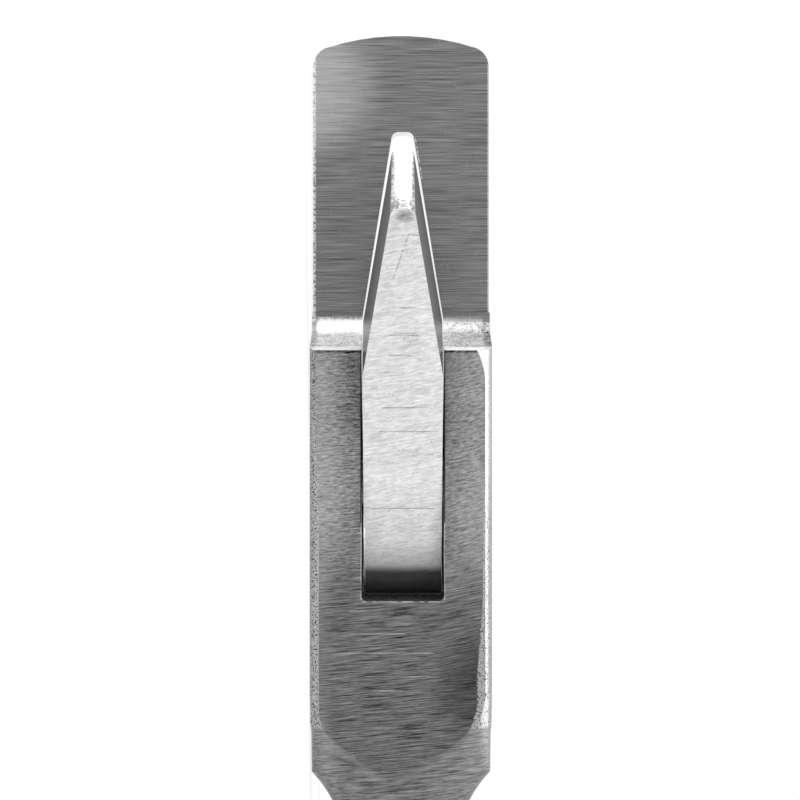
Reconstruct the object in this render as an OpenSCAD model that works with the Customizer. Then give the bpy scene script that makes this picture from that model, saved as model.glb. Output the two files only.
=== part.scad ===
// Livestock ear notcher: box-joint pliers with a V punch that passes through a V opening.
// The tool lies on its flank. Z is the pivot axis with the floor at z = 0, X points to the jaws,
// and the punch side, where the die lever has its handle, faces +Y.

/* [Head] */
// Width across the head, and so the height of the tool as it lies
head_w = 25.7; // [23:0.1:29]
// Height of the ground face above the pivot axis
ground_y = 10; // [9:0.1:12]
// How far the forging stood above the ground face before grinding
forge_skin = 0.6; // [0.3:0.05:0.8]
// Depth of the cheeks below the pivot axis
cheek_depth = 10; // [9.6:0.1:11]
// Radius of the cheeks round the pivot, at their lower rear
cheek_r = 17; // [16.6:0.1:18]
// Edge radius of the forging on the floor side
low_edge_r = 2.1; // [1.6:0.1:3]
// Edge radius of the forging on the upper side
high_edge_r = 2.7; // [2:0.1:3.6]
// Distance from the pivot to where the straight head ends
head_rear = 29.5; // [28:0.5:31]

/* [Slot] */
// Width of the slot through the head
slot_w = 11.65; // [11.5:0.05:12.4]
// Distance from the pivot to the rear wall of the slot
slot_rear = 15.6; // [15:0.1:16.2]
// Corner radius at the rear wall of the slot
slot_corner_r = 0.75; // [0.4:0.05:1.5]
// How far the slot, the V and the punch stand off the middle, towards the upper side
slot_shift = 0.25; // [0:0.05:0.4]

/* [Step] */
// Distance from the pivot to the corner where the step would meet the plate
step_x = 22.7; // [21:0.1:24]
// Slope of the step above the plate, in degrees
step_slope = 73; // [65:1:82]
// Radius of the hollow between the step and the plate
step_fillet_r = 2.6; // [1.5:0.1:3.5]

/* [Die plate] */
// How far the plate's long edges stand in from the flanks of the head
plate_inset = 0.15; // [0.1:0.05:1.5]
// Thickness of the die plate
plate_t = 5; // [4:0.1:6.5]
// Distance from the pivot to the tip of the plate
plate_end = 65.3; // [60:0.1:72]
// Radius of the plate's end
plate_end_r = 35; // [25:1:60]
// Corner radius of the plate's end
plate_corner_r = 2.9; // [1.5:0.1:5]
// Bevel along the plate's long edges
plate_bevel = 0.2; // [0.1:0.05:0.8]
// Where the underside starts to rise from the cheeks
ramp_start = 26; // [25.5:0.5:30]
// Where the underside has risen to the plate
ramp_end = 37; // [34:0.5:46]

/* [V opening] */
// Distance from the pivot to the closed end of the V
v_end = 51.4; // [48:0.1:55]
// Width of the V at its closed end
v_end_w = 2.98; // [2.2:0.02:4]
// Angle of each side of the V to its middle line
v_angle = 9.2; // [7.5:0.1:11]
// Corner radius at the closed end of the V
v_corner_r = 1; // [0.3:0.05:1.2]

/* [Punch lever] */
// How far the jaws are open at rest, in degrees
open_angle = 26; // [22:0.5:28]
// Width of the lever where it passes through the slot
bar_w = 11.1; // [10.6:0.05:11.3]
// Height of the lever's face above the pivot axis
bar_top = 7.5; // [7:0.1:8.5]
// Depth of the cutting edge below the pivot axis when shut
cut_depth = 1.5; // [1:0.1:2.5]
// Gap between the punch and the sides of the V
punch_gap = 0.12; // [0.05:0.01:0.3]
// Gap between the punch and the closed end of the V
tip_gap = 0.6; // [0.3:0.05:1.2]
// How far the nose slopes back from the cutting edge to the crown
nose_run = 4.7; // [3:0.1:7]
// Relief of the punch's sides above the cutting edge, in degrees
punch_draft = 4.3; // [2:0.1:7]
// Radius that rounds the nose at the crown
nose_round = 1.35; // [0.8:0.05:1.6]
// Gap between the two levers when shut
shut_gap = 0.3; // [0.2:0.05:0.6]
// Gap left between the lever's shoulder and the slot's rear wall when open
stop_gap = 0.15; // [0.1:0.05:0.4]
// Depth of the lever below the pivot axis
boss_depth = 9.5; // [9:0.1:9.5]

/* [Pivot pin] */
// Diameter of the pin
pin_d = 8; // [7:0.1:9]
// Diameter of the riveted pin ends
pin_head_d = 11; // [9.4:0.1:12]
// Radial clearance of the pin in the punch lever
pin_run = 0.06; // [0.02:0.01:0.1]
// Radial clearance of the pin in the cheeks
pin_seat = 0.02; // [0.01:0.01:0.05]
// How far the pin ends lie below the flanks
pin_sunk = 0; // [0:0.05:0.3]

/* [Handles] */
// Distance from the pivot to the end of the handles
handle_end = 155; // [140:1:185]
// Distance from the pivot to the shoulder behind the head
shoulder_x = 40; // [39:0.1:42]
// Radius of the hollow shoulder, seen on the ground face
shoulder_r = 19.4; // [17:0.1:24]
// Width of the neck
neck_w = 15.6; // [13:0.1:18]
// Width of the grips
grip_w = 25.6; // [21:0.2:29]
// Thickness of the neck
neck_t = 8.6; // [7.5:0.1:10]
// Thickness of the grips
grip_t = 8.2; // [7:0.1:10]
// Height of the neck's inner face above the middle plane when shut
neck_y = 0.6; // [0.4:0.1:1.5]
// Height of the grips' inner face above the middle plane when shut
grip_y = 9; // [7:0.1:12]

/* [Springs] */
// Thickness of the spring strip
spring_t = 0.9; // [0.7:0.05:1.2]
// Width of the spring strip
spring_w = 10; // [8:0.1:12]
// Distance from the pivot to the rivets of the springs
spring_x = 100; // [94:0.5:104]
// Length of the flat end that the rivet holds
spring_root = 16; // [14:0.5:20]
// Radius of the sprung bow
spring_bow_r = 74; // [66:1:90]
// Width of the tongue at the meeting ends
tongue_w = 3.4; // [2.5:0.1:4.5]
// Sideways clearance of the tongue in its fork
tongue_gap = 0.4; // [0.2:0.05:0.8]
// How deep the spring seats are cut into the handles, at the rivet
seat_depth = 0.6; // [0.5:0.05:0.9]
// Tilt of the spring seats away from the handle's face, in degrees
seat_tilt = 4; // [3:0.5:6]

/* [Rivets] */
// Diameter of the rivets
rivet_d = 4; // [3.2:0.1:4.6]
// Diameter of the rivet heads
rivet_head_d = 7.2; // [6:0.1:8.5]
// Height of the rivet heads
rivet_head_h = 1.7; // [1.2:0.1:2.4]
// Radial clearance of the rivets in their holes
rivet_gap = 0.03; // [0.01:0.01:0.08]

/* [Hidden] */
$fn = 64;

mid_z = head_w / 2;
slot_z = mid_z + slot_shift;
plate_w = head_w - 2 * plate_inset;
// Enough to reach past any surface that is cut
past = 1;

// The V punch
tip_x = v_end - tip_gap;
tip_half = v_end_w / 2 - punch_gap + (v_end - tip_x) * tan(v_angle);
punch_h = bar_top + cut_depth;
crown_x = tip_x - nose_run;
punch_root = 20;
function punch_half(x, h) = tip_half + (tip_x - x) * tan(v_angle) - h * tan(punch_draft);

// The lever's rear shoulder, which meets the slot's rear wall when the jaws are open
stop_y = 0.8 * bar_top;
stop_x = (stop_y * sin(open_angle) - slot_rear + stop_gap) / cos(open_angle);
shoulder_fall = 28;
shoulder_start = stop_x + (bar_top - stop_y) / tan(shoulder_fall);
shoulder_arc = 11.6;
// The middle gap between the levers is shared, with a little more above the pivot axis
die_under = -4 * shut_gap;
punch_over = die_under - shut_gap;

// The handles, as stations of [distance from the pivot, half width, outer face, inner face]
neck_x = shoulder_x + sqrt(shoulder_r ^ 2 - (shoulder_r - (head_w - neck_w) / 2) ^ 2);
grip_x = neck_x + 62;
end_round = 9;
inner_edge_r = 0.6;
handle_sides = 35;
neck_step = 1.5;
ring_step = 4.2;
outer_line = [[-head_rear + 1, ground_y + forge_skin + 0.85], [-head_rear - 2.8, ground_y + forge_skin + 0.55],
    [-shoulder_x + 5.2, ground_y + forge_skin + 0.38], [-shoulder_x + 3, ground_y + forge_skin],
    [-shoulder_x, ground_y], [-neck_x + 4, neck_y + neck_t + 0.1], [-neck_x - 6, neck_y + neck_t + 0.6],
    [-neck_x - 24, (neck_y + neck_t + grip_y + grip_t) / 2 + 0.4],
    [-grip_x + 14, grip_y + grip_t - 1], [-grip_x, grip_y + grip_t],
    [-handle_end + 18, grip_y + grip_t], [-handle_end, grip_y + grip_t - 1.2]];
inner_line = [[-head_rear + 1, 0.1 - punch_over], [-shoulder_x - 4, 0.1 - punch_over],
    [-neck_x, neck_y + 0.4], [-neck_x - 10, neck_y + 1.6],
    [-neck_x - 24, (neck_y + grip_y) / 2 + 0.6], [-grip_x + 14, grip_y - 1],
    [-grip_x, grip_y], [-handle_end + 18, grip_y], [-handle_end, grip_y - 0.9]];

// The spring seats lie along the handle's inner face at the rivet
seat_y = line_at(inner_line, -spring_x) + seat_depth;
seat_slope = atan((line_at(inner_line, -spring_x + spring_root / 2)
    - line_at(inner_line, -spring_x - spring_root / 2)) / spring_root) - seat_tilt;
// Point of the bow at radius r after a turn t, on the seat's own axes
function bow(r, t) = [spring_root / 2 + r * sin(t), r * cos(t) - spring_bow_r];
// Angle through which the bow turns until it meets the line midway between the open levers
function off_seat(p) = [p[0] * cos(seat_slope) - p[1] * sin(seat_slope) - spring_x,
    p[0] * sin(seat_slope) + p[1] * cos(seat_slope) + seat_y];
function above_middle(p) = p[1] * cos(open_angle / 2) - p[0] * sin(open_angle / 2);
function meet_turn(t) = above_middle(off_seat(bow(spring_bow_r, t))) < 0 || t > 60 ? t : meet_turn(t + 0.25);
bow_turn = meet_turn(20);
tip_past = 2;
bow_steps = 26;

// The rivet's outer end is level with the crown of the grip
rivet_end_d = rivet_d + 2.6;
rivet_sink = (rivet_end_d - rivet_d) / 2;
rivet_length = (line_at(outer_line, -spring_x) - seat_y) * cos(seat_slope) + 0.05;
dome_r = (rivet_head_d ^ 2 / 4 + rivet_head_h ^ 2) / (2 * rivet_head_h);

// Value at x on a smooth line through points that run towards -x
function slope_at(line, k) =
    let (a = max(k - 1, 0), b = min(k + 1, len(line) - 1))
    (line[b][1] - line[a][1]) / (line[b][0] - line[a][0]);
function segment(line, x, k = 0) = k >= len(line) - 2 || x >= line[k + 1][0] ? k : segment(line, x, k + 1);
function line_at(line, x) =
    let (k = segment(line, x), p = line[k], q = line[k + 1], w = q[0] - p[0], t = (x - p[0]) / w)
    p[1] * (1 + 2 * t) * (1 - t) ^ 2 + slope_at(line, k) * w * t * (1 - t) ^ 2
    + q[1] * t ^ 2 * (3 - 2 * t) + slope_at(line, k + 1) * w * t ^ 2 * (t - 1);
function smooth(t) = let (c = min(max(t, 0), 1)) c * c * (3 - 2 * c);

// Half the handle's width: head, hollow shoulder, neck, and a swelling to the grip
function half_width(x) =
    x > -shoulder_x ? head_w / 2 - 0.04 - 0.14 * smooth((-x - head_rear - 3) / 2)
    : x > -neck_x ? neck_w / 2 - 0.18 + shoulder_r - sqrt(shoulder_r ^ 2 - (x + neck_x) ^ 2)
    : neck_w / 2 - 0.18 + ((grip_w - neck_w) / 2 + 0.18) * smooth((-x - neck_x - 6) / (grip_x - neck_x - 6));

// The handle's cross-sections have 7 points on each corner and 7 more across the outer face.
// This is the boxy section at the head, with the head's own edge radii
edge_radii = [high_edge_r, low_edge_r, inner_edge_r, inner_edge_r];
function boxy(k, w, top, foot) =
    k > 6 && k < 14 ? [w - high_edge_r - (2 * w - high_edge_r - low_edge_r) * (k - 6) / 8, top]
    : let (j = k < 7 ? k : k - 7, c = floor(j / 7), r = edge_radii[c], a = 90 * c + 15 * (j - 7 * c))
    [(c == 0 || c == 3 ? w - r : r - w) + r * cos(a), (c < 2 ? top - r : foot + r) + r * sin(a)];
// And the oval one of neck and grip, crowned outside and flat inside
function oval(k, w, top, foot) =
    let (a = k < 21 ? 180 * (k + 0.5) / 21 : 180 + 180 * (k - 20.5) / 14, power = sin(a) > 0 ? 0.8 : 0.4)
    [w * sign(cos(a)) * abs(cos(a)) ^ (2 / 3),
        (top + foot) / 2 + (top - foot) / 2 * sign(sin(a)) * abs(sin(a)) ^ power];
// The forging's outer face crowns up more and more between the head and the shoulder
function crown(x) = 1 + 0.13 * (-x - head_rear);

function handle_ring(x, narrow = 1) =
    let (mid = (line_at(outer_line, x) + line_at(inner_line, x)) / 2,
        half = (line_at(outer_line, x) - line_at(inner_line, x)) / 2 * narrow,
        w = half_width(x) * narrow, round = smooth((-x - shoulder_x) / (neck_x + 4 - shoulder_x)))
    [for (k = [0:handle_sides - 1])
        let (p = round < 1 ? boxy(k, w, mid + half, mid - half) : [0, 0], q = oval(k, w, mid + half, mid - half),
            z = p[0] + (q[0] - p[0]) * round, y = p[1] + (q[1] - p[1]) * round)
        [x, y - (1 - round) * crown(x) * (z / w) ^ 2 * max(y - mid, 0) / half, mid_z + z]];

// Polygon with rounded corners, each given as [x, y, radius]; corners may turn either way
module soft_polygon(corners) {
    n = len(corners);
    lap = 0.02;
    function at(k) = [corners[(k + n) % n][0], corners[(k + n) % n][1]];
    function unit(v) = v / norm(v);
    function turn(k) = let (a = unit(at(k) - at(k - 1)), b = unit(at(k + 1) - at(k))) a[0] * b[1] - a[1] * b[0];
    function half_angle(k) = acos(unit(at(k - 1) - at(k)) * unit(at(k + 1) - at(k))) / 2;
    function inward(k) = unit(unit(at(k - 1) - at(k)) + unit(at(k + 1) - at(k)));
    function reach(k) = corners[k][2] / tan(half_angle(k));
    // The part of the rounding circle that lies beyond the chord between its ends
    module cap(k) {
        r = corners[k][2];
        u = inward(k);
        side = [-u[1], u[0]] * 1.5 * r;
        chord = at(k) + u * (reach(k) * cos(half_angle(k)) + lap);
        intersection() {
            translate(at(k) + u * r / sin(half_angle(k))) circle(r = r);
            polygon([chord + side, chord - side, chord - side - u * 2 * r, chord + side - u * 2 * r]);
        }
    }
    difference() {
        union() {
            polygon([for (k = [0:n - 1])
                each corners[k][2] == 0 ? [at(k)]
                    : [at(k) + unit(at(k - 1) - at(k)) * reach(k), at(k) + unit(at(k + 1) - at(k)) * reach(k)]]);
            for (k = [0:n - 1])
                if (corners[k][2] > 0 && turn(k) > 0) cap(k);
        }
        for (k = [0:n - 1])
            if (corners[k][2] > 0 && turn(k) < 0) cap(k);
    }
}

// A side view, an end view and a plan, each made solid
module from_side(z0, z1) translate([0, 0, z0]) linear_extrude(z1 - z0) children();
module from_end(x0, x1) translate([x0, 0, 0]) rotate([90, 0, 90]) linear_extrude(x1 - x0) children();
module from_above(y0, y1, z = mid_z)
    translate([0, y1, z]) rotate([90, 0, 0]) linear_extrude(y1 - y0) children();

module head_section(foot)
    soft_polygon([[foot, 0, low_edge_r], [ground_y + forge_skin, 0, low_edge_r],
        [ground_y + forge_skin, head_w, high_edge_r], [foot, head_w, high_edge_r]]);

module grinding() translate([-neck_x - 2, ground_y, -past]) cube([neck_x + 40, 20, head_w + 2 * past]);

// Forged handle with its neck, in the place of the die lever's
module handle() {
    straight = handle_end - end_round;
    // Rings from a to b, without the one at a
    function rings_to(a, b, step) =
        let (count = ceil((b - a) / step)) [for (k = [1:count]) handle_ring(-a - (b - a) * k / count)];
    rings = concat([handle_ring(1 - head_rear)], rings_to(head_rear - 1, shoulder_x, neck_step),
        rings_to(shoulder_x, neck_x + 4, neck_step), rings_to(neck_x + 4, straight, ring_step),
        [for (a = [15:15:75]) handle_ring(-straight - end_round * sin(a), sqrt(cos(a)))]);
    n = handle_sides;
    last = len(rings) - 1;
    polyhedron(
        points = [for (r = rings) each r],
        faces = concat(
            [[for (k = [0:n - 1]) k]],
            [for (i = [0:last - 1], k = [0:n - 1]) [(i + 1) * n + (k + 1) % n, i * n + (k + 1) % n, i * n + k]],
            [for (i = [0:last - 1], k = [0:n - 1]) [(i + 1) * n + k, (i + 1) * n + (k + 1) % n, i * n + k]],
            [[for (k = [n - 1:-1:0]) last * n + k]]),
        convexity = 4);
}

// Places its children on the spring seat of the die lever, with x along the strip and y into the handle
module on_seat() translate([-spring_x, seat_y, mid_z]) rotate([0, 0, seat_slope]) children();

module spring_seat()
    on_seat() translate([-spring_root / 2 - past, -10, -spring_w / 2 - 0.3])
        cube([spring_root + 3 * past, 10, spring_w + 0.6]);

module rivet_hole()
    on_seat() rotate([-90, 0, 0]) {
        translate([0, 0, -past]) cylinder(d = rivet_d + 2 * rivet_gap, h = grip_t + 3 * past);
        translate([0, 0, rivet_length - rivet_sink])
            cylinder(d1 = rivet_d + 2 * rivet_gap, d2 = rivet_end_d + 2 * rivet_gap + 2 * past, h = rivet_sink + past);
    }

module die_plate() {
    arc_x = plate_end - plate_end_r;
    corner_z = plate_w / 2 - plate_corner_r;
    corner_x = arc_x + sqrt((plate_end_r - plate_corner_r) ^ 2 - corner_z ^ 2);
    far = 1.5 * plate_end_r / (plate_end_r - plate_corner_r);
    edge = plate_inset;
    intersection() {
        from_side(edge, head_w - edge)
            soft_polygon([[step_x - 12, -cheek_depth, 0], [ramp_start, -cheek_depth, 5], [ramp_end, -plate_t, 9],
                [plate_end + past, -plate_t, 0], [plate_end + past, 0, 0], [step_x - 12, 0, 0]]);
        from_above(-cheek_depth, 0) {
            translate([0, -plate_w / 2]) square([corner_x, plate_w]);
            for (s = [-1, 1]) translate([corner_x, s * corner_z]) circle(r = plate_corner_r);
            intersection() {
                translate([arc_x, 0]) circle(r = plate_end_r, $fn = 180);
                polygon([[arc_x, 0], [arc_x + far * (corner_x - arc_x), -far * corner_z],
                    [arc_x + far * (corner_x - arc_x), far * corner_z]]);
            }
        }
        from_end(0, plate_end + past)
            polygon([[-cheek_depth - past, edge], [-plate_bevel, edge], [0, edge + plate_bevel],
                [0, head_w - edge - plate_bevel], [-plate_bevel, head_w - edge], [-cheek_depth - past, head_w - edge]]);
    }
}

// The straight part of the die lever's forging, from the step to the neck
module die_head() {
    top = ground_y + forge_skin;
    intersection() {
        from_side(0, head_w) {
            soft_polygon([[-head_rear, 0.1 - punch_over, 0], [-head_rear + 4.5, die_under, 3],
                [0, die_under, 0], [0, -cheek_depth, 0],
                [step_x + 1.5, -cheek_depth, 0], [step_x + 1.5, -1, 0], [step_x + step_fillet_r, -1, 0],
                [step_x + step_fillet_r, 0, 0], [step_x, 0, step_fillet_r],
                [step_x - top / tan(step_slope), top, 0], [-head_rear, top, 0]]);
            intersection() {
                circle(r = cheek_r);
                translate([-cheek_r, -cheek_depth]) square([cheek_r + past, cheek_depth]);
            }
        }
        from_end(-head_rear, step_x + step_fillet_r) head_section(-cheek_depth);
    }
}

// Slot and V in one plan, with x along the tool and the middle plane at 0
module slot_and_v() {
    half = slot_w / 2;
    mouth = v_end - (half - v_end_w / 2) / tan(v_angle);
    soft_polygon([[-slot_rear, -half, slot_corner_r], [mouth, -half, 0], [v_end, -v_end_w / 2, v_corner_r],
        [v_end, v_end_w / 2, v_corner_r], [mouth, half, 0], [-slot_rear, half, slot_corner_r]]);
}

module pin_hole(gap, with_heads) {
    head_h = (pin_head_d - pin_d) / 2;
    translate([0, 0, -past]) cylinder(d = pin_d + 2 * gap, h = head_w + 2 * past);
    if (with_heads)
        for (s = [0, 1]) mirror([0, 0, s]) translate([0, 0, -s * head_w])
            translate([0, 0, pin_sunk - past])
                cylinder(d1 = pin_head_d + 2 * (past + gap), d2 = pin_d + 2 * gap, h = head_h + past);
}

module die_lever() color("silver")
    difference() {
        union() {
            die_head();
            die_plate();
            handle();
        }
        grinding();
        from_above(-cheek_depth - past, ground_y + past, slot_z) slot_and_v();
        // Below the middle plane the slot runs out to the rear, for the punch lever
        translate([-cheek_r - past, -cheek_depth - past, slot_z - slot_w / 2])
            cube([cheek_r + past, cheek_depth + past + die_under, slot_w]);
        pin_hole(pin_seat, true);
        spring_seat();
        rivet_hole();
    }

// Front of the punch lever: a relieved V wedge with a sloping, rounded nose
module punch_wedge() {
    rear = 12;
    slab = 0.01;
    module outline(h, front, r)
        from_above(-cut_depth + min(h, punch_h - slab), -cut_depth + min(h, punch_h - slab) + slab, slot_z)
            hull() {
                for (s = [-1, 1])
                    translate([front - r, s * (punch_half(front - r, h) - r / cos(v_angle))])
                        circle(r = r, $fn = 32);
                translate([rear, -punch_half(rear, h)]) square([slab, 2 * punch_half(rear, h)]);
            }
    intersection() {
        hull() {
            outline(0, tip_x, 0.4);
            outline(punch_h, crown_x, nose_round);
        }
        translate([punch_root, -20, slot_z - bar_w / 2]) cube([60, 40, bar_w]);
    }
}

module punch_bar()
    from_side(slot_z - bar_w / 2, slot_z + bar_w / 2)
        soft_polygon([[punch_root, -cut_depth, 0], [punch_root, bar_top, 0], [shoulder_start, bar_top, shoulder_arc],
            [stop_x, stop_y, 0.5], [-slot_rear + shut_gap, punch_over, 0], [-cheek_r - 8, punch_over, 0],
            [-cheek_r - 8, -boss_depth, 0], [1, -boss_depth, 6], [punch_root - 2, -cut_depth, 8]]);

// The straight part of the punch lever's forging behind the cheeks, in the place of the die lever's
module punch_rear()
    difference() {
        intersection() {
            from_side(0, head_w)
                difference() {
                    translate([-head_rear, -punch_over])
                        square([head_rear - 8, ground_y + forge_skin + punch_over]);
                    circle(r = cheek_r + shut_gap);
                }
            from_end(-head_rear, 0) head_section(-cheek_depth);
        }
    }

module punch_lever() color("gainsboro")
    rotate([0, 0, open_angle])
        difference() {
            union() {
                punch_wedge();
                punch_bar();
                mirror([0, 1, 0])
                    difference() {
                        union() {
                            punch_rear();
                            handle();
                        }
                        grinding();
                        spring_seat();
                        rivet_hole();
                    }
            }
            pin_hole(pin_run, false);
        }

module pivot_pin() color("darkgray") {
    head_h = (pin_head_d - pin_d) / 2;
    translate([0, 0, pin_sunk]) cylinder(d = pin_d, h = head_w - 2 * pin_sunk);
    for (s = [0, 1]) mirror([0, 0, s]) translate([0, 0, pin_sunk - s * head_w])
        cylinder(d1 = pin_head_d, d2 = pin_d, h = head_h);
}

// A strip that is flat at its rivet and bows away from the handle; forked or with a tongue
module leaf_spring(forked) {
    end_turn = bow_turn + tip_past;
    notch = 5;
    side_w = (spring_w - tongue_w) / 2;
    turns = [for (k = [0:bow_steps]) end_turn * k / bow_steps];
    on_seat() difference() {
        from_side(-spring_w / 2, spring_w / 2)
            polygon(concat([[-spring_root / 2, 0]], [for (t = turns) bow(spring_bow_r, t)],
                [for (k = [bow_steps:-1:0]) bow(spring_bow_r - spring_t, turns[k])], [[-spring_root / 2, -spring_t]]));
        rotate([90, 0, 0]) translate([0, 0, -past])
            cylinder(d = rivet_d + 2 * rivet_gap, h = spring_t + 2 * past);
        translate(concat(bow(spring_bow_r, end_turn), 0)) rotate([0, 0, -end_turn])
            if (forked)
                translate([-notch, -past - spring_t, -tongue_w / 2 - tongue_gap])
                    cube([2 * notch, 3 * past + spring_t, tongue_w + 2 * tongue_gap]);
            else
                for (s = [0, 1]) mirror([0, 0, s])
                    translate([-notch, -past - spring_t, tongue_w / 2])
                        cube([2 * notch, 3 * past + spring_t, side_w + past]);
    }
}

module spring_rivet()
    on_seat() rotate([-90, 0, 0]) {
        translate([0, 0, -spring_t]) cylinder(d = rivet_d, h = spring_t + rivet_length);
        translate([0, 0, rivet_length - rivet_sink]) cylinder(d1 = rivet_d, d2 = rivet_end_d, h = rivet_sink);
        translate([0, 0, -spring_t]) intersection() {
            translate([0, 0, dome_r - rivet_head_h]) sphere(r = dome_r);
            translate([0, 0, -rivet_head_h - past]) cylinder(d = rivet_head_d + past, h = rivet_head_h + past);
        }
    }

// Mirrors a piece of the die lever's handle onto the open punch lever
module on_punch_lever() rotate([0, 0, open_angle]) mirror([0, 1, 0]) children();

module die_leaf_spring() color("slategray") leaf_spring(false);
module punch_leaf_spring() color("slategray") on_punch_lever() leaf_spring(true);
module die_spring_rivet() color("darkgray") spring_rivet();
module punch_spring_rivet() color("darkgray") on_punch_lever() spring_rivet();

die_lever();
punch_lever();
pivot_pin();
die_leaf_spring();
punch_leaf_spring();
die_spring_rivet();
punch_spring_rivet();
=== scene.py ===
"""Livestock ear notcher, lying on its side: finishes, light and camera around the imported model."""
import math

import bmesh
import bpy
from mathutils import Matrix, Vector


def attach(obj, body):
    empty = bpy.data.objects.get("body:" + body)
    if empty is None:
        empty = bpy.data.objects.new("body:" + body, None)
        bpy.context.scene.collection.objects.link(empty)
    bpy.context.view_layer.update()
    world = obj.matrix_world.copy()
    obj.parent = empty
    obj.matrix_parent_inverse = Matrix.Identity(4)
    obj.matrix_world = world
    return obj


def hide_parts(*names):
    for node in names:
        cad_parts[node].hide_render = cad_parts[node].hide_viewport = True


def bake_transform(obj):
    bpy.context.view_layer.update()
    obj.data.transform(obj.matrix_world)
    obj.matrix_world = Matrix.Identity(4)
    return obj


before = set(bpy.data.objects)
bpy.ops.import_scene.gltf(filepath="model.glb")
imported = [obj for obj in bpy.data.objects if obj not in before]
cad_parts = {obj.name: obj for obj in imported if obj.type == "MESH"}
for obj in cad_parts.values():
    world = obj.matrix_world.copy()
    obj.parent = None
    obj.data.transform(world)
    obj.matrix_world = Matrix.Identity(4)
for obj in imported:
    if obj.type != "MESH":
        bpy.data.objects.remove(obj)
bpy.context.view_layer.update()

MM = 0.001

# Sizes in mm that the finishes follow, as in the part's source
OPEN_ANGLE = 26.0
GROUND_Y = 10.0
BAR_TOP = 7.5
CUT_DEPTH = 1.5
# A face larger than this, in square metres, was ground flat and keeps its edges crisp
FLAT_AREA = 0.00003
SLOT_Z = 13.1
SLOT_HALF = 5.825
BAR_HALF = 5.55
MID_Z = 12.85
# Thin scratches across the crown of the punch lever, each with its X from the pivot and its ends in Z
CROWN_CUTS = ((31.6, 12.2, 15.3), (27.8, 11.3, 15.1), (27.5, 10.9, 15.6), (24.5, 10.7, 14.6), (21.9, 10.1, 12.7),
              (16.5, 9.8, 16.7), (12.8, 9.5, 18.5), (0.6, 7.6, 17.7))
# Lighter and darker lines across the ground face
LIGHT_RULES = ((-17.0, 5.0, 8.4), (-20.2, 4.6, 14.0), (-21.1, 6.2, 9.1), (-22.9, 3.8, 17.8), (-26.2, 7.4, 18.9),
               (-28.2, 8.5, 13.8))
DARK_RULES = tuple((at, 3.2, 7.5) for at in (18.2, 17.3, 15.9, 14.6, 13.1, 11.8, 9.9, 8.8, 6.2, 3.4, -2.6, -7.3))
# Where each spring leaves its seat, and where the two meet
DIE_SPRING_ROOT = (-92.1, 6.8, 12.85)
PUNCH_SPRING_ROOT = (-79.4, -46.2, 12.85)
SPRING_TIP = (-51.5, -12.0, 12.85)

# The photograph: 800 pixels square, looking along -Y with +X up
PHOTO_PX = 800
PX_PER_MM = 7.126
CAMERA_AWAY = 320.0
CENTRE_X = 12.63
CENTRE_Z = 12.71
SENSOR = 36.0


class Sock:
    """A shader socket with arithmetic."""

    def __init__(self, tree, link):
        self.tree, self.link = tree, link

    def op(self, kind, other=None, third=None, first=None):
        values = [self if first is None else first, other, third]
        return self.tree.node("ShaderNodeMath", {"operation": kind},
                              {i: v for i, v in enumerate(values) if v is not None})

    def __add__(self, o):
        return self.op("ADD", o)

    __radd__ = __add__

    def __mul__(self, o):
        return self.op("MULTIPLY", o)

    __rmul__ = __mul__

    def __sub__(self, o):
        return self.op("SUBTRACT", o)

    def __rsub__(self, o):
        return self.tree.node("ShaderNodeMath", {"operation": "SUBTRACT"}, {0: o, 1: self})

    def __truediv__(self, o):
        return self.op("DIVIDE", o)

    def __abs__(self):
        return self.op("ABSOLUTE")

    def __gt__(self, o):
        return self.op("GREATER_THAN", o)

    def __lt__(self, o):
        return self.op("LESS_THAN", o)


class Tree:
    """One material's nodes."""

    def __init__(self, material):
        material.use_nodes = True
        self.nodes, self.links = material.node_tree.nodes, material.node_tree.links
        self.nodes.clear()

    def node(self, kind, settings=None, inputs=None, out=0):
        made = self.nodes.new(kind)
        for key, value in (settings or {}).items():
            if key == "stops":
                ramp = made.color_ramp
                while len(ramp.elements) < len(value):
                    ramp.elements.new(1.0)
                for element, (at, level) in zip(ramp.elements, value):
                    element.position = at
                    element.color = (level, level, level, 1.0)
            else:
                setattr(made, key, value)
        for key, value in (inputs or {}).items():
            if isinstance(value, Sock):
                self.links.new(value.link, made.inputs[key])
            else:
                made.inputs[key].default_value = value
        return Sock(self, made.outputs[out]) if made.outputs else None

    def coords(self):
        return self.node("ShaderNodeTexCoord", out=3)

    def normals(self):
        return self.node("ShaderNodeTexCoord", out=1)

    def split(self, vector):
        return [self.node("ShaderNodeSeparateXYZ", inputs={0: vector}, out=i) for i in range(3)]

    def turned(self, vector, turn=(0, 0, 0), scale=(1, 1, 1), move=(0, 0, 0)):
        return self.node("ShaderNodeMapping", inputs={"Vector": vector, "Rotation": turn, "Scale": scale,
                                                      "Location": move})

    def noise(self, vector, scale, detail=3.0, rough=0.5, distort=0.0):
        return self.node("ShaderNodeTexNoise", inputs={"Vector": vector, "Scale": scale, "Detail": detail,
                                                       "Roughness": rough, "Distortion": distort})

    def steps(self, value, low, high):
        """0 below low, 1 above high, smooth between."""
        return self.node("ShaderNodeMapRange", {"interpolation_type": "SMOOTHSTEP"},
                         {"Value": value, "From Min": low, "From Max": high})

    def background_rays(self):
        """1 for rays that show the background itself, or its image in metal: camera, glossy and transmission rays."""
        camera, glossy, through = [self.node("ShaderNodeLightPath", out=i) for i in (0, 3, 6)]
        return camera.op("MAXIMUM", glossy).op("MAXIMUM", through)

    def grey(self, value):
        return self.node("ShaderNodeCombineColor", inputs={0: value, 1: value, 2: value})


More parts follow.
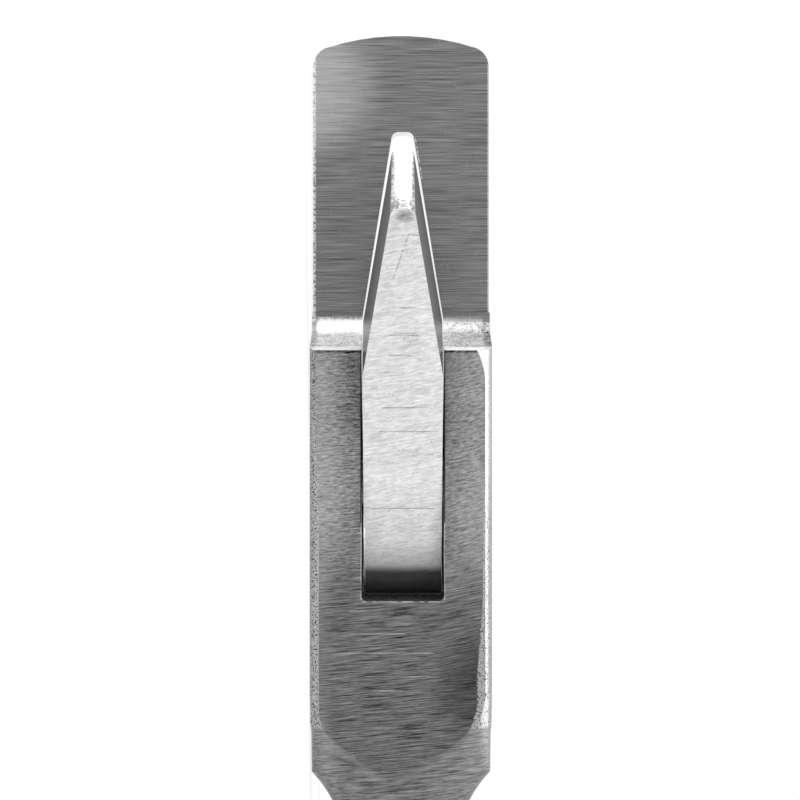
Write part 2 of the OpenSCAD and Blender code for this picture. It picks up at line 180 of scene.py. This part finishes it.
def lever_material(name, turn_deg):
    """Plated forging, with ground faces. Its nodes work in the lever's own frame, with the jaws shut."""
    material = bpy.data.materials.new(name)
    t = Tree(material)
    place = t.turned(t.coords(), turn=(0, 0, math.radians(-turn_deg)), scale=(1000, 1000, 1000))
    facing = t.turned(t.normals(), turn=(0, 0, math.radians(-turn_deg)))
    return material, t, place, t.split(place), t.split(facing)


def finish_material(t, colour, rough, bump_height, distance, metallic=1.0):
    bump = t.node("ShaderNodeBump", inputs={"Strength": 1.0, "Distance": distance, "Height": bump_height})
    shader = t.node("ShaderNodeBsdfPrincipled",
                    inputs={"Base Color": t.grey(colour), "Metallic": metallic, "Roughness": rough, "Normal": bump})
    t.node("ShaderNodeOutputMaterial", inputs={"Surface": shader})


def strokes(t, place, lean_deg, across, along, seed=0.0, detail=3.0, rough=0.6):
    """Lines of grinding along Z that lean towards X, with so many per mm across and along them."""
    laid = t.turned(t.turned(place, turn=(0, math.radians(-lean_deg), 0)), scale=(across, 1.0, along),
                    move=(seed, seed, seed))
    return t.noise(laid, 1.0, detail, rough)


def nicks(t, place, cell, length, width, share, seed):
    """Short curved scratches, one at most in each cell, turned every way on a face along X and Z."""
    flat = t.turned(place, turn=(math.radians(90), 0, 0), move=(seed, seed, 0))
    sites = {"voronoi_dimensions": "2D", "feature": "F1"}
    where = {"Vector": flat, "Scale": 1.0 / cell}
    site = t.node("ShaderNodeTexVoronoi", sites, where, out=2)
    hue = t.split(t.node("ShaderNodeTexVoronoi", sites, where, out=1))
    away = t.node("ShaderNodeVectorMath", {"operation": "SUBTRACT"}, {0: flat, 1: site})
    spun = t.node("ShaderNodeVectorRotate", {"rotation_type": "Z_AXIS"}, {"Vector": away, "Angle": hue[0] * 6.28})
    u, v, _ = t.split(spun)
    bent = abs(v - (hue[1] - 0.5) * u * u * (1.6 / length))
    return (1.0 - t.steps(bent, width * 0.5, width)) * (1.0 - t.steps(abs(u), length * 0.35, length * 0.5)) * (hue[2] < share)


def rules(t, place, x, z, lines, width, seed):
    """Thin straight lines along Z, each at its own X and between its own ends, some parts of them fainter."""
    faint = t.steps(t.noise(t.turned(place, scale=(0.7, 0.0, 0.3), move=(seed, 0, 0)), 1.0, 2.0), 0.34, 0.52)
    near = None
    for at, start, end in lines:
        past = abs(z - (start + end) / 2) - (end - start) / 2 + 0.7
        away = abs(x - at) + past.op("MAXIMUM", 0.0) * width * 1.4
        near = away if near is None else near.op("MINIMUM", away)
    return (1.0 - t.steps(near, width * 0.3, width)) * (0.35 + 0.65 * faint)


def scratch(t, x, z, start, end, width):
    """One thin straight scratch between two points of a face along X and Z."""
    run, rise = end[0] - start[0], end[1] - start[1]
    length = math.hypot(run, rise)
    u, v = x - (start[0] + end[0]) / 2, z - (start[1] + end[1]) / 2
    past = (abs(u * (run / length) + v * (rise / length)) - length / 2).op("MAXIMUM", 0.0)
    return 1.0 - t.steps(abs(u * (rise / length) - v * (run / length)) + past, width * 0.3, width)


def ripple(t, place, lean, seed, drawn):
    """The grain that hand grinding leaves, from about -1 to 1: short-stroked, or drawn out where drawn is 1."""
    short = strokes(t, place, lean, 3.9, 1.0, seed, 3.0, 0.65)
    long = strokes(t, place, lean * 0.8, 6.2, 0.22, seed + 4.0, 2.0, 0.6)
    return (short - 0.5) * (3.0 - 2.2 * drawn) + (long - 0.5) * (1.4 + 2.0 * drawn)


def spot(t, x, z, at, radii, soft=1.0):
    """1 in the middle of an oval patch, falling to 0 at its edge."""
    u, v = (x - at[0]) / radii[0], (z - at[1]) / radii[1]
    return 1.0 - t.steps(u * u + v * v, 1.0 - soft, 1.0)


def ground_area(t, x, z, grain):
    """1 within the uneven outline that hand grinding left on the body, and how far a point is past its left edge."""
    back = 0.0 - x
    to_right = 24.7 - 0.35 * t.steps(back, -6.0, 8.0) - 0.75 * t.steps(back, 14.0, 27.5)
    corner = (x - 14.6).op("MAXIMUM", 0.0) / 4.8
    to_right = to_right - corner * corner * 1.1 - (back - 29.0).op("MAXIMUM", 0.0).op("POWER", 2.4) * 0.029
    to_left = 0.75 + 0.4 * t.steps(back, -14.0, 4.0) + (back - 31.5).op("MAXIMUM", 0.0).op("POWER", 1.6) * 0.25
    torn = (0.12 + 0.25 * t.steps(back, 14.0, 22.0)) * grain
    soft = 0.10 + 3.0 * t.steps(back, 34.0, 38.0)
    inside = t.steps((to_right - z + torn) / soft, -0.5, 0.5) * t.steps((z - to_left + torn) / soft, -0.5, 0.5)
    return inside, z - to_left


def die_finish():
    material, t, place, (x, y, z), (nx, ny, nz) = lever_material("die_lever_finish", 0)
    fore = t.steps(x, -33.9, -33.3)
    on_plate = t.steps(ny, 0.5, 0.7) * (x > 23.0) * (y < 0.1) * (y > -1.0)
    rear = t.steps(0.0 - x, 4.0, 18.0)
    grain = ripple(t, place, 6.0, 2.0, rear)
    grain = grain + (ripple(t, place, 15.0, 21.0, rear) - grain) * t.steps(z, 15.0, 21.0) * (x > -25.0)
    within, past_left = ground_area(t, x, z, grain)
    on_ground = t.steps(ny, 0.80, 0.92) * (y > GROUND_Y - 1.2) * (x > -44.0) * (x < 19.6) * within
    outer = t.steps(ny, 0.35, 0.7) * (1.0 - on_ground) * (1.0 - fore) * t.steps(x, -75.0, -55.0)
    side = t.steps(abs(nz), 0.985, 0.998) * fore
    under = t.steps(0.0 - ny, 0.985, 0.998) * (x > -12.0)
    step = t.steps(nx, 0.12, 0.25) * (y > 0.1) * (x > 15.0) * (x < 27.0)
    cast = t.noise(place, 0.9, 4.0, 0.6)
    above = t.steps(z, 14.0, 22.0)
    # The plate: painted dark grey as a stand-in for the dark reflection of its ground steel, with fine lines straight
    # across, a painted sheen as a lighter patch, and a few nicks
    fine = strokes(t, place, 0.3, 6.5, 0.14)
    broad = strokes(t, place, 0.0, 0.8, 0.03, 7.0, 2.0)
    nick = nicks(t, place, 4.1, 1.6, 0.07, 0.32, 3.0) + nicks(t, place, 2.6, 0.8, 0.06, 0.25, 11.0)
    half = 1.49 + (51.4 - x) * 0.162
    crumbs = t.noise(place, 2.6, 2.0)
    burr = (1.0 - t.steps(abs(z - SLOT_Z - half - 0.2), 0.03, 0.09)) * (x > 44.6) * (x < 50.6) * (crumbs > 0.47)
    # painted highlight along the plate's left edge, broken up by noise
    left_edge_highlight = (1.0 - t.steps(z, 0.35, 0.65)) * t.steps(crumbs, 0.40, 0.56)
    ends = 1.0 - t.steps(z, 0.4, 1.2) + t.steps(z, 24.3, 24.9)
    # painted highlight: the fillet's bright reflection carried onto the plate just below the step, fainter on the
    # upper side and at both ends
    fillet_highlight = on_plate * (1.0 - 0.8 * ends) * (1.0 - t.steps(x + 0.9 * (crumbs - 0.5), 23.9, 24.9))
    # painted sheen: the lighter oval patch on the plate
    plate_tone = (0.192 + 0.5 * (fine - 0.5) + 0.10 * (broad - 0.5) + 0.21 * spot(t, x, z, (58.0, -2.5), (12.5, 14.0))
                  + 0.06 * nick + 0.5 * burr + 0.5 * left_edge_highlight + (0.8 - 0.45 * above) * fillet_highlight)
    v_wall = (1.0 - t.steps(abs(ny), 0.2, 0.4)) * (x > 21.0) * (x < 53.0) * (y < 0.15) * (abs(z - SLOT_Z) < half + 0.6)
    # The ground face of the body: a short-stroked grain that leans more to the rear and the right
    wide = t.noise(place, 0.14, 3.0)
    left = 1.0 - t.steps(z, 0.6, 7.0 - 3.0 * rear)
    light = rules(t, place, x, z, LIGHT_RULES, 0.14, 3.0)
    dark = rules(t, place, x, z, DARK_RULES, 0.15, 8.0)
    speck = t.noise(place, 2.9, 3.0, 0.65)
    # painted shade: a darker patch at the right rear of the ground face, which also weakens the grain there; the
    # smaller dark patch further forward is pits
    rear_shade = spot(t, x, z, (-27.4, 24.6), (9.5, 8.5))
    shade_and_pits = rear_shade * 0.07 + spot(t, x, z, (16.1, 6.2), (4.0, 2.2)) * (1.0 - t.steps(speck, 0.36, 0.45)) * 0.14
    body_tone = (0.20 - 0.06 * rear + (0.15 - 0.10 * rear) * left + 0.11 * t.steps(z, 17.0, 24.0) * (1.0 - rear)
                 + (0.27 - 0.08 * rear) * grain * (1.0 - 0.55 * rear_shade) + 0.14 * (wide - 0.5) * (1.3 - rear) + 0.15 * light - 0.08 * dark - shade_and_pits)
    # painted highlight along the slot's edges behind the pivot and along its rear wall, broken up by noise
    slot_rim_highlight = ((1.0 - t.steps(abs(abs(z - SLOT_Z) - SLOT_HALF), 0.08, 0.16)) * (x < -4.6) * (x > -15.4)
           + (1.0 - t.steps(abs(x + 15.7), 0.05, 0.14)) * (abs(z - SLOT_Z) < SLOT_HALF))
    # painted shade: a dark line along the slot's edges ahead of the pivot, where the gap beside the punch lever falls
    # dark
    slot_edge_shade = (abs(abs(z - SLOT_Z) - SLOT_HALF) < 0.14) * (y > GROUND_Y - 0.25) * (x < 20.0) * (x > -4.6)
    edge_line = (1.0 - t.steps(abs(x - 19.42), 0.10, 0.22)) * 0.15
    # painted highlight: a thin light line along the left edge of the grinding, towards the rear
    glint = (1.0 - t.steps(abs(past_left - 0.08), 0.04, 0.14)) * t.steps(0.0 - x, 0.0, 12.0) * (x > -33.0)
    ground_tone = body_tone + 0.22 * slot_rim_highlight * t.steps(cast, 0.38, 0.55) - edge_line + 0.16 * glint
    # Behind the ground face the neck keeps its strokes, lighter along the edge of the grinding
    beside = t.steps(abs(z - MID_Z), 7.0, 11.0) * t.steps(x, -52.0, -40.0)
    neck_tone = 0.172 + 0.19 * grain + 0.08 * beside + 0.1 * (wide - 0.5)
    # The forged skin: pitted up to the end of the flanks, and smoother on the handle. On the faces turned towards +Y
    # the lower side is painted dark and the upper side painted light, brightest at its front corner
    pits = t.steps(t.noise(place, 4.0, 3.0, 0.65), 0.42, 0.50)
    dots = 1.0 - t.steps(t.noise(t.turned(place, move=(4, 4, 4)), 4.2, 2.0, 0.6), 0.36, 0.42)
    band = t.steps(ny, 0.06, 0.3) * fore
    level = t.steps(ny, 0.9, 0.97) * t.steps(0.0 - x, 12.0, 20.0)
    corner = t.steps(x, 13.0, 15.0) * t.steps(ny, 0.9, 0.97)
    upper_flank_light_and_pits = 0.42 + 0.1 * t.steps(x, -6.0, 6.0) + 0.5 * corner + (0.26 * pits - 0.24) * level
    pits_and_painted_light = (0.04 + 0.42 * pits) * (1.0 - above) + upper_flank_light_and_pits * (1.0 - 0.92 * dots * (1.0 - 0.8 * t.steps(x, -6.0, 6.0))) * above
    # painted shade where the flanks turn sideways, deeper on the lower side
    turning_shade = (1.0 - t.steps(ny, 0.2, 0.42)) * (ny > 0.03) * fore
    skin = 0.34 + 0.14 * (cast - 0.5) + 0.10 * (speck - 0.5)
    forged_tone = (pits_and_painted_light * band + skin * (1.0 - band)) * (1.0 - turning_shade * (0.8 - 0.4 * above))
    forged_tone = neck_tone * outer + forged_tone * (1.0 - outer)
    # The step up from the plate is painted light as a stand-in for its bright reflection, with painted highlights
    # along its top edge and on the smooth fillet at its foot; it is darker on the upper side and towards both ends
    foot = t.steps(x + 1.1 * (crumbs - 0.5), 21.9, 22.9)
    smooth = foot * (1.0 - above)
    step_tone = (0.68 - 0.16 * above + 0.45 * (pits - 0.5) * (1.0 - smooth) + 1.1 * (cast - 0.5) - (0.3 + 0.5 * smooth) * ends
                 + 0.6 * (1.0 - t.steps(x, 19.9, 20.3)) + 0.5 * smooth + 0.14 * foot + 0.5 * t.steps(x, 23.8, 24.2))
    side_tone = 0.40 + 0.22 * (strokes(t, place, 80.0, 3.0, 0.12, 3.0) - 0.5) + 0.1 * (cast - 0.5)
    plain = (1.0 - on_plate - on_ground - side - under) * (1.0 - step) * (1.0 - v_wall)
    colour = (plate_tone * on_plate + ground_tone * on_ground + forged_tone * plain
              + step_tone * step * (1.0 - on_plate) + side_tone * side + (plate_tone + 0.2) * under + 0.85 * v_wall) * (1.0 - 0.85 * slot_edge_shade)
    rough = 0.40 * (1.0 - plain) + (0.29 + 0.2 * (cast - 0.5) + 0.1 * outer) * plain + 0.2 * step
    height = ((fine - 0.5) * on_plate * 0.4 + 0.35 * grain * (on_ground + outer * plain) - nick * on_plate * 0.2
              + (speck * (0.4 + 1.2 * band) + cast) * plain)
    finish_material(t, colour, rough, height, 0.00003, 1.0 - 0.55 * step)
    return material


def punch_finish():
    material, t, place, (x, y, z), (nx, ny, nz) = lever_material("punch_lever_finish", OPEN_ANGLE)
    bar = (x > -19.0) * (y > -3.5) * (abs(z - SLOT_Z) < BAR_HALF + 0.3)
    crown = t.steps(ny, 0.80, 0.95) * (y > 3.0) * bar
    grain = ripple(t, place, 12.0, 5.0, 0.0 * x)
    cloud = t.noise(place, 0.35, 3.0)
    cuts = rules(t, place, x, z, CROWN_CUTS, 0.11, 5.0)
    marks = (scratch(t, x, z, (42.4, 13.9), (35.9, 11.8), 0.16).op("MAXIMUM", scratch(
        t, x, z, (42.4, 13.9), (42.1, 15.4), 0.16)) * t.steps(t.noise(place, 2.2, 2.0), 0.36, 0.5))
    stain = spot(t, x, z, (44.9, 13.4), (1.1, 1.6))
    dots = nicks(t, place, 2.4, 0.35, 0.10, 0.25, 2.0)
    # painted shade where the bar runs back into the slot, eased a little at its very back
    slot_shade = t.steps(0.0 - x + 0.3 * grain, 8.2, 10.1) * bar
    # painted highlight along the crown's lower edge, behind the pivot
    gleam = (1.0 - t.steps(abs(z - SLOT_Z + BAR_HALF - 0.12), 0.04, 0.12)) * (x < -2.5) * crown
    # The crown is painted much lighter than the plate and body of the same steel, standing for its bright reflection,
    # and lighter still towards its back; its grain, cuts, pits, scratches and stain are real marks
    crown_tone = (0.58 + 0.21 * grain + 0.16 * (cloud - 0.5) - 0.12 * cuts - 0.2 * dots - 0.2 * marks - 0.3 * stain
                  + 0.22 * t.steps(0.0 - x, 2.0, 8.0))
    # painted highlight: the nose slope near white, broken to grey by mottling towards its top and its sides
    nose = t.steps(nx, 0.35, 0.55) * (x > 40.0)
    mottle = t.noise(place, 1.9, 4.0, 0.7)
    nose_highlight_tone = 0.9 - 0.6 * t.steps(mottle, 0.38, 0.56) * t.steps(y, 5.0, 6.4).op(
        "MAXIMUM", t.steps(abs(z - SLOT_Z), 1.0, 1.4))
    # the blade's sides painted dark grey, a stand-in for their dark reflection
    blade = t.steps(abs(nz), 0.86, 0.95) * (x > -12.0)
    blade_tone = 0.13 + 0.06 * (strokes(t, place, 70.0, 2.5, 0.1) - 0.5)
    speck = t.noise(place, 2.9, 3.0, 0.65)
    cast = t.noise(place, 0.9, 4.0, 0.6)
    under = t.steps(0.0 - ny, 0.97, 0.995) * (x > -8.0)
    skin = 0.34 + 0.14 * (cast - 0.5) + 0.10 * (speck - 0.5)
    plain = (1.0 - crown) * (1.0 - nose) * (1.0 - blade) * (1.0 - under)
    colour = (crown_tone * crown * (1.0 - nose) + nose_highlight_tone * nose + blade_tone * blade * (1.0 - crown) * (1.0 - nose)
              + skin * plain + 0.36 * under) * (1.0 - 0.86 * slot_shade + 0.2 * t.steps(0.0 - x, 9.5, 13.0) * slot_shade) + 0.7 * gleam
    rough = 0.33 * (1.0 - plain) + (0.29 + 0.2 * (cast - 0.5)) * plain
    height = (0.35 * grain - cuts) * crown + (speck * 0.4 + cast) * plain + mottle * nose
    finish_material(t, colour, rough, height, 0.00003)
    return material


def steel_finish(name, tone, rough, scale):
    material = bpy.data.materials.new(name)
    t = Tree(material)
    place = t.turned(t.coords(), scale=(1000, 1000, 1000))
    grain = t.noise(t.turned(place, scale=scale), 1.0, 5.0, 0.6)
    finish_material(t, tone + 0.25 * (grain - 0.5), rough + 0.15 * (grain - 0.5), grain, 0.00002)
    return material


def dressed_copy(name, material, bevel=0.0):
    """A welded, smooth-shaded copy of a CAD node, with its sharp edges kept or bevelled."""
    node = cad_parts[name]
    bm = bmesh.new()
    bm.from_mesh(node.data)
    bm.transform(node.matrix_world)
    bmesh.ops.remove_doubles(bm, verts=bm.verts[:], dist=0.000003)
    bmesh.ops.dissolve_degenerate(bm, edges=bm.edges[:], dist=0.000003)
    bmesh.ops.dissolve_limit(bm, angle_limit=math.radians(0.3), verts=bm.verts[:], edges=bm.edges[:])
    for face in bm.faces:
        face.smooth = True
    for edge in bm.edges:
        faces = edge.link_faces
        bend = edge.calc_face_angle(0.0) if len(faces) == 2 else 9.0
        ground = max([face.calc_area() for face in faces] or [0.0]) > FLAT_AREA
        edge.smooth = bend < math.radians(8 if ground and bend > math.radians(6.5) else 28)
    mesh = bpy.data.meshes.new(name + "_dressed")
    bm.to_mesh(mesh)
    bm.free()
    mesh.materials.append(material)
    made = bpy.data.objects.new(name + "_dressed", mesh)
    bpy.context.scene.collection.objects.link(made)
    if bevel:
        soft = made.modifiers.new("edges", "BEVEL")
        soft.width, soft.segments = bevel, 2
        soft.limit_method, soft.angle_limit = "ANGLE", math.radians(35)
        soft.use_clamp_overlap = True
    even = made.modifiers.new("even_shading", "WEIGHTED_NORMAL")
    even.mode, even.weight, even.keep_sharp = "FACE_AREA", 100, True
    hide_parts(name)
    return made


def lay_finishes():
    spring = steel_finish("spring_finish", 0.42, 0.26, (0.5, 0.5, 5))
    rivet = steel_finish("rivet_finish", 0.5, 0.3, (2, 2, 2))
    die = dressed_copy("die_lever", die_finish(), 0.00008)
    punch = dressed_copy("punch_lever", punch_finish(), 0.00008)
    pin = dressed_copy("pivot_pin", steel_finish("pin_finish", 0.45, 0.35, (3, 3, 3)))
    for piece, body in ((die, "die_side"), (punch, "punch_side"), (pin, "die_side")):
        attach(piece, body)
    for name, body in (("die_spring_rivet", "die_side"), ("punch_spring_rivet", "punch_side")):
        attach(dressed_copy(name, rivet), body)
    # The springs get dressed copies with their transforms baked in; the levers, roots and meeting tip listed here are
    # not used
    for name, bodies, root, tip in (
            ("die_leaf_spring", ("die_side", "punch_side"), DIE_SPRING_ROOT, SPRING_TIP),
            ("punch_leaf_spring", ("punch_side", "die_side"), PUNCH_SPRING_ROOT, SPRING_TIP)):
        piece = dressed_copy(name, spring)
        root, tip = Vector(root) * MM, Vector(tip) * MM
        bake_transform(piece)


def stage_material():
    material = bpy.data.materials.new("pale_floor")
    t = Tree(material)
    seen = t.background_rays()
    speck = t.noise(t.coords(), 40.0, 3.0)
    cloth = t.node("ShaderNodeBsdfPrincipled", inputs={"Base Color": t.grey(0.86 + 0.02 * speck), "Roughness": 0.8})
    glow = t.node("ShaderNodeEmission", inputs={"Color": (1, 1, 1, 1), "Strength": 1.13})
    mixed = t.node("ShaderNodeMixShader", inputs={0: seen * 0.72, 1: cloth, 2: glow})
    t.node("ShaderNodeOutputMaterial", inputs={"Surface": mixed})
    return material


def build_stage():
    mesh = bpy.data.meshes.new("floor")
    bm = bmesh.new()
    bmesh.ops.create_grid(bm, x_segments=1, y_segments=1, size=3.0)
    bm.to_mesh(mesh)
    bm.free()
    floor = bpy.data.objects.new("floor", mesh)
    floor.location.z = -0.0001
    mesh.materials.append(stage_material())
    bpy.context.scene.collection.objects.link(floor)


def area_lamp(name, place, target, size, watts):
    lamp = bpy.data.lights.new(name, "AREA")
    lamp.shape = "RECTANGLE"
    lamp.size, lamp.size_y = size
    lamp.energy = watts
    made = bpy.data.objects.new(name, lamp)
    made.location = place
    made.rotation_euler = (Vector(target) - Vector(place)).to_track_quat("-Z", "Y").to_euler()
    bpy.context.scene.collection.objects.link(made)
    return made


def build_light():
    middle = (0.015, 0.0, 0.0127)
    area_lamp("tail_panel", (-0.75, 0.55, 0.25), middle, (0.7, 0.5), 0.7)
    area_lamp("nose_panel", (0.8, 0.30, 0.25), middle, (0.5, 0.5), 2.0)
    area_lamp("top_panel", (0.0, 0.1, 0.9), middle, (0.8, 0.5), 3.0)
    world = bpy.data.worlds.new("studio")
    bpy.context.scene.world = world
    t = Tree(world)
    plain = t.node("ShaderNodeBackground", inputs={"Color": (1, 1, 1, 1), "Strength": 0.8})
    white = t.node("ShaderNodeBackground", inputs={"Color": (1, 1, 1, 1), "Strength": 1.0})
    mixed = t.node("ShaderNodeMixShader", inputs={0: t.background_rays(), 1: plain, 2: white})
    t.node("ShaderNodeOutputWorld", inputs={"Surface": mixed})


def build_camera():
    data = bpy.data.cameras.new("photo_camera")
    data.sensor_width = SENSOR
    half_view = PHOTO_PX / 2 / PX_PER_MM
    data.lens = SENSOR / 2 * CAMERA_AWAY / half_view
    data.clip_start, data.clip_end = 0.01, 20.0
    camera = bpy.data.objects.new("photo_camera", data)
    camera.location = (CENTRE_X * MM, (GROUND_Y + CAMERA_AWAY) * MM, CENTRE_Z * MM)
    # Image right is +Z, image up is +X, and the camera's own +Z points back at +Y
    camera.rotation_mode = "QUATERNION"
    camera.rotation_quaternion = Matrix(((0, 1, 0), (0, 0, 1), (1, 0, 0))).to_quaternion()
    bpy.context.scene.collection.objects.link(camera)
    bpy.context.scene.camera = camera


build_camera()
lay_finishes()
build_stage()
build_light()
bpy.context.scene.view_settings.view_transform = "Standard"
